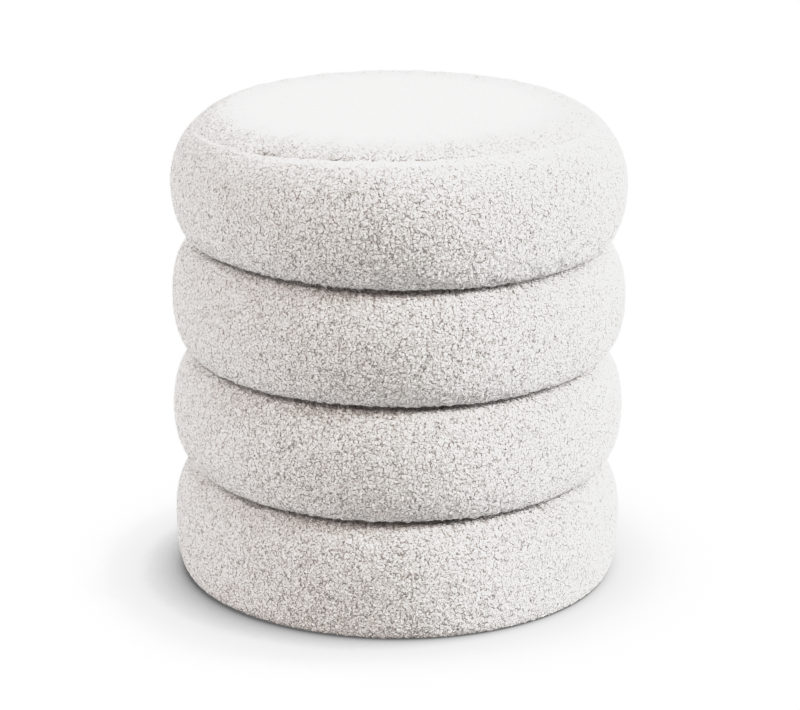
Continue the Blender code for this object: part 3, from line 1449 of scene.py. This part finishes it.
@dataclass
class Lid(Makings):
    """The loose lid: side band, top panel and the board under it."""

    columns: int = 960
    rows_up: int = 45
    rows_down: int = 48
    cells: int = 296
    shoulder_radius: float = 0.150
    widest: float = 0.054
    crown: float = 4.0 * MM

    def top_line(self) -> np.ndarray:
        """Section of the lid from its widest point over the shoulder to the middle of its crown.

        Returns:
            Radius and height of each point.
        """
        low, level = self.sizes.lid_low, self.sizes.lid_top - self.crown
        wide = (self.sizes.outer, low + self.widest)
        shoulder = superellipse(wide, (self.shoulder_radius, level), self.roundness.shoulder, 800)
        radius = np.linspace(self.shoulder_radius, 0.0, 400)[1:]
        height = level + self.crown * (1.0 - (radius / self.shoulder_radius) ** 2)
        return np.concatenate([shoulder, np.stack([radius, height], 1)])

    def seam(self) -> Seam:
        """The shoulder seam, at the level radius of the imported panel."""
        return Seam(self.sizes.seam_radius)

    def seam_run(self, angle: np.ndarray) -> np.ndarray:
        """Distance of the shoulder seam from the widest point, along the section, at each angle."""
        top_line = self.top_line()
        return np.interp(-self.seam().radius(angle), -top_line[:, 0], run_length(top_line))

    def top_point(self, run: np.ndarray) -> tuple[np.ndarray, np.ndarray, np.ndarray, np.ndarray]:
        """Radius, height and outward normal of the top line at a distance along it.

        Args:
            run: distance along the line from its widest point.

        Returns:
            Radius, height, and the normal's parts along the radius and up.
        """
        top_line = self.top_line()
        along = run_length(top_line)
        radius, height = (np.interp(run, along, top_line[:, axis]) for axis in range(2))
        step = np.gradient(top_line, along, axis=0)
        step_r, step_z = (np.interp(run, along, step[:, axis]) for axis in range(2))
        size = np.hypot(step_r, step_z)
        return radius, height, step_z / size, -step_r / size

    def band_section(self) -> Section:
        """Lower half of the band's section: from its widest point down to the crease, and a little in.

        Returns:
            The open section.
        """
        low, creases = self.sizes.lid_low, self.creases
        mouth = (creases.radius, low + creases.slot)
        side = superellipse((self.sizes.outer, low + self.widest), mouth, self.roundness.ring)
        closing = line(mouth, (creases.radius - creases.closing, low))
        return Section.of([Stretch(side, self.rows_down, 1.0), Stretch(closing, 3, 0.6)], closed=False)

    def band_stuffing(self, lower: Section, seam_length: float) -> Stuffing:
        """Blow up the band between the shoulder seam and the crease, its two sewn edges.

        Args:
            lower: lower half of the band's section.
            seam_length: distance from the widest point to the seam.

        Returns:
            How far each place of the band stands proud.
        """
        top_line = self.top_line()
        shoulder = top_line[run_length(top_line) <= seam_length][::-1]
        side = np.stack([lower.radius, lower.height], 1)[: self.rows_down]
        return Stuffing.blown(np.concatenate([shoulder, side[1:]]), 550)

    def band(self) -> None:
        """Build the side band: rows from the seam down to the crease, then under to the board."""
        low, creases, lower = self.sizes.lid_low, self.creases, self.band_section()
        angle, wide = even_angles(self.columns), np.ones((1, self.columns))
        seam = self.seam_run(angle)
        run = (1.0 - (np.arange(self.rows_up) / self.rows_up)[:, None] ** 1.25) * seam
        seam_length = float(self.seam_run(np.zeros(1))[0])
        down = seam_length + lower.distance()
        above = (*self.top_point(run), seam_length - run, run - seam)
        below = (lower.radius, lower.height, *lower.normals(), down, np.full(len(down), -0.1))
        radius, height, out_r, out_z, along, away = (
            np.concatenate([upper, part[:, None] * wide]) for upper, part in zip(above, below)
        )
        strength = np.concatenate([np.ones((self.rows_up, 1)), lower.pile[:, None]])
        spread = np.broadcast_to(angle, radius.shape)
        turn, round_way = spread / FULL_TURN, FULL_TURN * self.sizes.outer
        relief = self.pile.relief(turn * round_way, along, round_way, 500)
        seam_move, short, seam_shade = self.seam().shape(away, spread)
        nap = short * (1.0 - 0.3 * hump(along, 20.0 * MM))
        length = seam_length + float(lower.distance()[self.rows_down - 1])
        move = self.band_stuffing(lower, seam_length).at(turn, along / length) * (strength == 1.0)
        under = height < low + self.widest
        depth = self.pile.depth * (1.0 - self.pile.pressed * under * creases.near(radius))
        move = move + strength * nap * depth * (relief - self.pile.mean) + seam_move
        move = move + under * creases.fringe(2 * creases.count, spread, radius)
        # Shade painted into the pile next to the crease under the lid
        dark = creases.lid_painted_shade * creases.dark * under * creases.painted_shade_share(radius)
        shade = FLAT_PILE + (relief - FLAT_PILE) * nap + seam_shade - dark
        radius, height = radius + out_r * move, np.maximum(height + out_z * move, low + TIER_GAP)
        piece = self.hemmed(radius, height, shade, nap).to_object("lid_band_cloth", [self.boucle])
        declare(piece, Body.LID, ["lid_band"])

    def hemmed(
        self, radius: np.ndarray, height: np.ndarray, shade: np.ndarray, nap: np.ndarray
    ) -> Surface:
        """Add the band's hidden rows: two turn in under the top panel, two run to the board's recess.

        Args:
            radius: distance of each point of the band from the axis.
            height: its height.
            shade: its pile's height, with light and shade painted into it.
            nap: its pile's strength.

        Returns:
            The whole band.
        """
        low, sizes, wide, tuck = self.sizes.lid_low, self.sizes, np.ones((1, self.columns)), 4.0 * MM
        inner = (sizes.seam_radius - 5.0 * tuck) * wide, (sizes.seam_height - 3.0 * tuck) * wide
        recess, ceiling = (sizes.board + BOARD_GAP) * wide, (sizes.base_top + BOARD_GAP) * wide
        radius = np.concatenate([inner[0], radius[:1] - tuck, radius, recess, recess])
        height = np.concatenate([inner[1], height[:1] - 0.5 * tuck, height, low * wide, ceiling])
        shade = np.concatenate([np.full((2, self.columns), 0.3), shade, np.full((2, self.columns), 0.5)])
        nap = np.concatenate([nap[:1], nap[:1], nap, nap[-1:], nap[-1:]])
        spread = np.broadcast_to(even_angles(self.columns), radius.shape)
        place = np.stack([radius, spread, height])
        height = self.creases.move(self.creases.count, low, sizes.seam_height, place)
        run = np.arange(len(radius))
        return Surface.turned((radius, spread, height), run, 4, pile=shade.ravel(), nap=nap.ravel())

    def top_panel(self) -> None:
        """Build the round top panel on a square grid bent into a disc.

        A point's distance from the disc's middle is its share of the way from the crown to the seam. The
        panel ends in a hidden skirt, which turns in over the band.
        """
        reach, angle = disc_grid(self.cells)
        top_line, seam = self.top_line(), self.seam_run(angle)
        line_run = run_length(top_line)
        run = line_run[-1] - reach * (line_run[-1] - seam)
        radius, height, out_r, out_z = self.top_point(run)
        sheet = 1.0
        x, y = radius * np.cos(angle), radius * np.sin(angle)
        relief = self.pile.relief(x + 0.5 * sheet, y + 0.5 * sheet, sheet, 600)
        seam_move, short, seam_shade = self.seam().shape(run - seam, angle)
        panel = top_line[(line_run >= float(seam.mean())) & (top_line[:, 0] > 6.0 * MM)]
        stuffing = Stuffing.blown(panel, 650, sewn_end=False)
        swell = stuffing.at(angle / FULL_TURN, 1.0 - reach) * smooth((reach - 0.3) / 0.6)
        # Towards the crown the nap falls: the pile lies flatter and the painted gap shade fades, so the top
        # comes out plain and light, as where light falls full on it
        nap = short * (0.25 + 0.60 * smooth(1.0 - (run - seam) / (68.0 * MM)))
        move = swell + nap * self.pile.depth * (relief - self.pile.mean) + seam_move
        shade = FLAT_PILE + (relief - FLAT_PILE) * nap + seam_shade
        points = turned_points(radius + out_r * move, angle, height + out_z * move)
        quads, uv = disc_quads(self.cells)
        rim = disc_rim(self.cells)
        under, skirt, skirt_uv = self.skirt(rim, len(points))
        surface = Surface(
            points=np.concatenate([points, self.tucked(points[rim])]),
            quads=np.concatenate([quads, skirt]),
            uv=np.concatenate([uv, skirt_uv]),
            pile=np.concatenate([shade.ravel(), np.full(len(rim), 0.3)]),
            nap=np.concatenate([nap.ravel(), np.full(len(rim), 0.5)]),
            caps=[under[::-1]],
        )
        piece = surface.to_object("lid_top_panel_cloth", [self.boucle])
        declare(piece, Body.LID, ["lid_top_panel"])

    def tucked(self, rim: np.ndarray) -> np.ndarray:
        """The rim's points moved in and a little up, under the panel and over the band.

        Args:
            rim: points of the panel's rim.

        Returns:
            The moved points.
        """
        radius = np.hypot(rim[:, 0], rim[:, 1])
        inward = ((radius - 5.0 * MM) / radius)[:, None]
        return np.concatenate([rim[:, :2] * inward, rim[:, 2:] + 0.5 * MM], 1)

    def skirt(self, rim: np.ndarray, start: int) -> tuple[np.ndarray, np.ndarray, np.ndarray]:
        """Join the rim to the points tucked under it, in a strip at the top of the map.

        Args:
            rim: point numbers round the rim.
            start: number of the first tucked point.

        Returns:
            Numbers of the tucked points, and the quads' corners and map.
        """
        under = start + np.arange(len(rim))
        beside = np.roll(np.arange(len(rim)), -1)
        quads = np.stack([rim[beside], under[beside], under, rim], -1)
        place = np.arange(len(rim)) / len(rim)
        after, low, top = place + 1.0 / len(rim), np.full(len(rim), 0.98), np.ones(len(rim))
        corners = [(after, low), (after, top), (place, top), (place, low)]
        return under, quads, np.stack([np.stack(corner, -1) for corner in corners], 1)

    def base(self) -> None:
        """Build the board under the lid with its step."""
        low, top, radius = self.sizes.lid_low, self.sizes.base_top, self.sizes.board
        step = self.sizes.storage - 3.0 * MM
        edge = [(radius, top), (radius, low), (step, low), (step, self.sizes.base_low)]
        piece = board("lid_base_cloth", edge, self.lining)
        declare(piece, Body.LID, ["lid_base"])


def declare(
    piece: bpy.types.Object, body: Body, nodes: list[str]
) -> None:
    """Tie a finished piece to its body and the solids that it stands for.

    Args:
        piece: the finished piece.
        body: what it moves with.
        nodes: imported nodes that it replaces.
    """
    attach(piece, body.value)
    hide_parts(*nodes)
    triangles = sum(len(polygon.vertices) - 2 for polygon in piece.data.polygons)
    LOG.info("%s rides on %s with %d triangles", piece.name, body.value, triangles)


# ---- Studio ----


@dataclass(frozen=True)
class Lamp:
    """A soft far lamp: where it stands in degrees round and up, its strength, its width and its colour."""

    name: str
    around: float
    up: float
    strength: float
    width: float = 40.0
    colour: tuple[float, float, float] = (1.0, 1.0, 1.0)


@dataclass
class Studio:
    """Floor, sky, lamps and camera."""

    sky: tuple[float, float, float] = (1.0, 1.0, 1.0)
    sky_strength: float = 0.0085
    open_side: tuple[float, float, float] = (0.55, 0.30, 0.80)
    shadow_reach: float = 0.30
    shadow_starts: float = 0.33
    shadow_gain: float = 1.306
    contact_reach: float = 0.14
    contact_gain: float = 0.861
    darkest: float = 0.13
    floor_bounce: float = 0.5
    camera_back: float = 2.610
    camera_up: float = 1.043
    camera_pitch: float = 17.86
    camera_roll: float = 0.27
    camera_shift: float = 0.0024
    lens: float = 131.4
    response: tuple[tuple[float, float], ...] = (
        (0.0, 0.0),
        (0.176, 0.50),
        (0.213, 0.59),
        (0.254, 0.668),
        (0.299, 0.734),
        (0.344, 0.787),
        (0.388, 0.828),
        (0.442, 0.860),
        (0.507, 0.876),
        (0.60, 0.886),
        (0.72, 0.903),
        (0.84, 0.926),
        (1.0, 1.0),
    )
    lamps: tuple[Lamp, ...] = (
        Lamp("side", 0, 15, 2.30, 20.0),
        Lamp("key", -20, 35, 1.40, 20.0, (1.0, 0.985, 0.965)),
        Lamp("high_key", -40, 50, 0.437, 20.0, (1.0, 0.93, 0.85)),
        Lamp("high_right", 25, 65, 0.487, 30.0, (0.70, 0.90, 1.0)),
        Lamp("left_fill", 180, 25, 1.44, 60.0, (0.92, 0.975, 1.0)),
        Lamp("front_left", -140, 30, 0.86, 60.0, (1.0, 0.80, 0.74)),
    )

    def floor(self) -> None:
        """Make a large white floor, with its shadow painted on for the camera."""
        half = 30.0
        mesh = bpy.data.meshes.new("floor")
        corners = [(-half, -half, 0.0), (half, -half, 0.0), (half, half, 0.0), (-half, half, 0.0)]
        mesh.from_pydata(corners, [], [(0, 1, 2, 3)])
        mesh.materials.append(self.shadow_painted_floor())
        linked(bpy.data.objects.new("floor", mesh))

    def shadow_painted_floor(self) -> bpy.types.Material:
        """White floor cover that glows for the camera, with a soft shadow painted on the side away from the
        side lamp and a painted contact shadow round the foot.

        How much of the sky towards the open side each place sees gives the painted shadow, and the
        camera's response turned round makes the shade come out even.

        Returns:
            The material.
        """
        tree = ShaderTree(bpy.data.materials.new("shadow_painted_floor"))
        leaning = tree.node("ShaderNodeCombineXYZ", {}, *self.open_side)
        kind, settings = "ShaderNodeAmbientOcclusion", {"samples": 24}
        side = tree.node(kind, settings, output="AO", Distance=self.shadow_reach, Normal=leaning)
        near = tree.node(kind, settings, output="AO", Distance=self.contact_reach)
        above_floor = 0.5 + 0.5 * self.open_side[2] / math.hypot(*self.open_side)
        # Painted shadow on the side away from the side lamp, and a painted contact shadow round the foot
        painted_side_shadow = (1.0 - self.shadow_starts - side / above_floor).held()
        painted_contact_shadow = (1.0 - near) * (1.0 - near)
        shade = (1.0 - painted_side_shadow * self.shadow_gain - painted_contact_shadow * self.contact_gain).held()
        shade = shade.math("MAXIMUM", shade, self.darkest)
        stops = tuple((shown, given) for given, shown in self.response)
        even = tree.node("ShaderNodeValToRGB", {"stops": stops}, shade, output="Color")
        glow = tree.node("ShaderNodeEmission", {}, Color=even)
        lit = tree.node("ShaderNodeBsdfDiffuse", {}, Color=(*(self.floor_bounce,) * 3, 1.0))
        tree.split("Material Output", lit, glow)
        return tree.owner

    def light(self) -> None:
        """Light the scene: an even pale sky, shown white behind the footstool, and the lamps."""
        world = bpy.data.worlds.new("studio")
        bpy.context.scene.world = world
        tree = ShaderTree(world)
        glow = tree.node("ShaderNodeBackground", {}, Color=(*self.sky, 1.0), Strength=self.sky_strength)
        backdrop = tree.node("ShaderNodeBackground", {}, Color=(1.0, 1.0, 1.0, 1.0), Strength=1.0)
        tree.split("World Output", glow, backdrop)
        for lamp in self.lamps:
            self.add_lamp(lamp)

    def add_lamp(self, lamp: Lamp) -> None:
        """Add one sun lamp, turned to shine from its place towards the middle.

        Args:
            lamp: the lamp.
        """
        data = bpy.data.lights.new(lamp.name, "SUN")
        data.energy, data.angle = lamp.strength, math.radians(lamp.width)
        data.color = lamp.colour
        around, up = math.radians(lamp.around), math.radians(lamp.up)
        place = Vector((math.cos(up) * math.cos(around), math.cos(up) * math.sin(around), math.sin(up)))
        piece = linked(bpy.data.objects.new(lamp.name, data))
        piece.rotation_euler = (-place).to_track_quat("-Z", "Y").to_euler()

    def camera(self) -> None:
        """Set up the camera in front of the footstool, looking down on it a little."""
        data = bpy.data.cameras.new("camera")
        data.lens, data.sensor_width, data.shift_x = self.lens, 36.0, self.camera_shift
        camera = linked(bpy.data.objects.new("camera", data))
        camera.location = (0.0, -self.camera_back, self.camera_up)
        tilt, roll = math.radians(90.0 - self.camera_pitch), math.radians(self.camera_roll)
        turned = Matrix.Rotation(tilt, 3, "X") @ Matrix.Rotation(roll, 3, "Z")
        camera.rotation_euler = turned.to_euler()
        bpy.context.scene.camera = camera

    def film(self) -> None:
        """Set how the camera answers to light: evenly in the dark and middle, softly near white."""
        view = bpy.context.scene.view_settings
        view.view_transform, view.use_curve_mapping = "Standard", True
        mapping = view.curve_mapping
        points = mapping.curves[3].points
        points[0].location, points[-1].location = self.response[0], self.response[-1]
        for place in self.response[1:-1]:
            points.new(*place)
        for point in points:
            point.handle_type = "VECTOR"
        mapping.update()


def main() -> None:
    """Build the footstool and its studio."""
    logging.basicConfig(level=logging.INFO, format="%(name)s: %(message)s")
    sizes = Measures.read()
    boucle, lining = BoucleFinish().material(), LiningFinish().material()
    creases = Creases(count=3, fade_from=sizes.board, fade_to=sizes.board + 10.0 * MM)
    drum = Drum(sizes, creases, boucle, lining)
    drum.rings()
    drum.bottom()
    lid = Lid(sizes, creases, boucle, lining)
    lid.base()
    lid.band()
    lid.top_panel()
    studio = Studio()
    studio.floor()
    studio.light()
    studio.camera()
    studio.film()


if __name__ == "__main__":
    main()
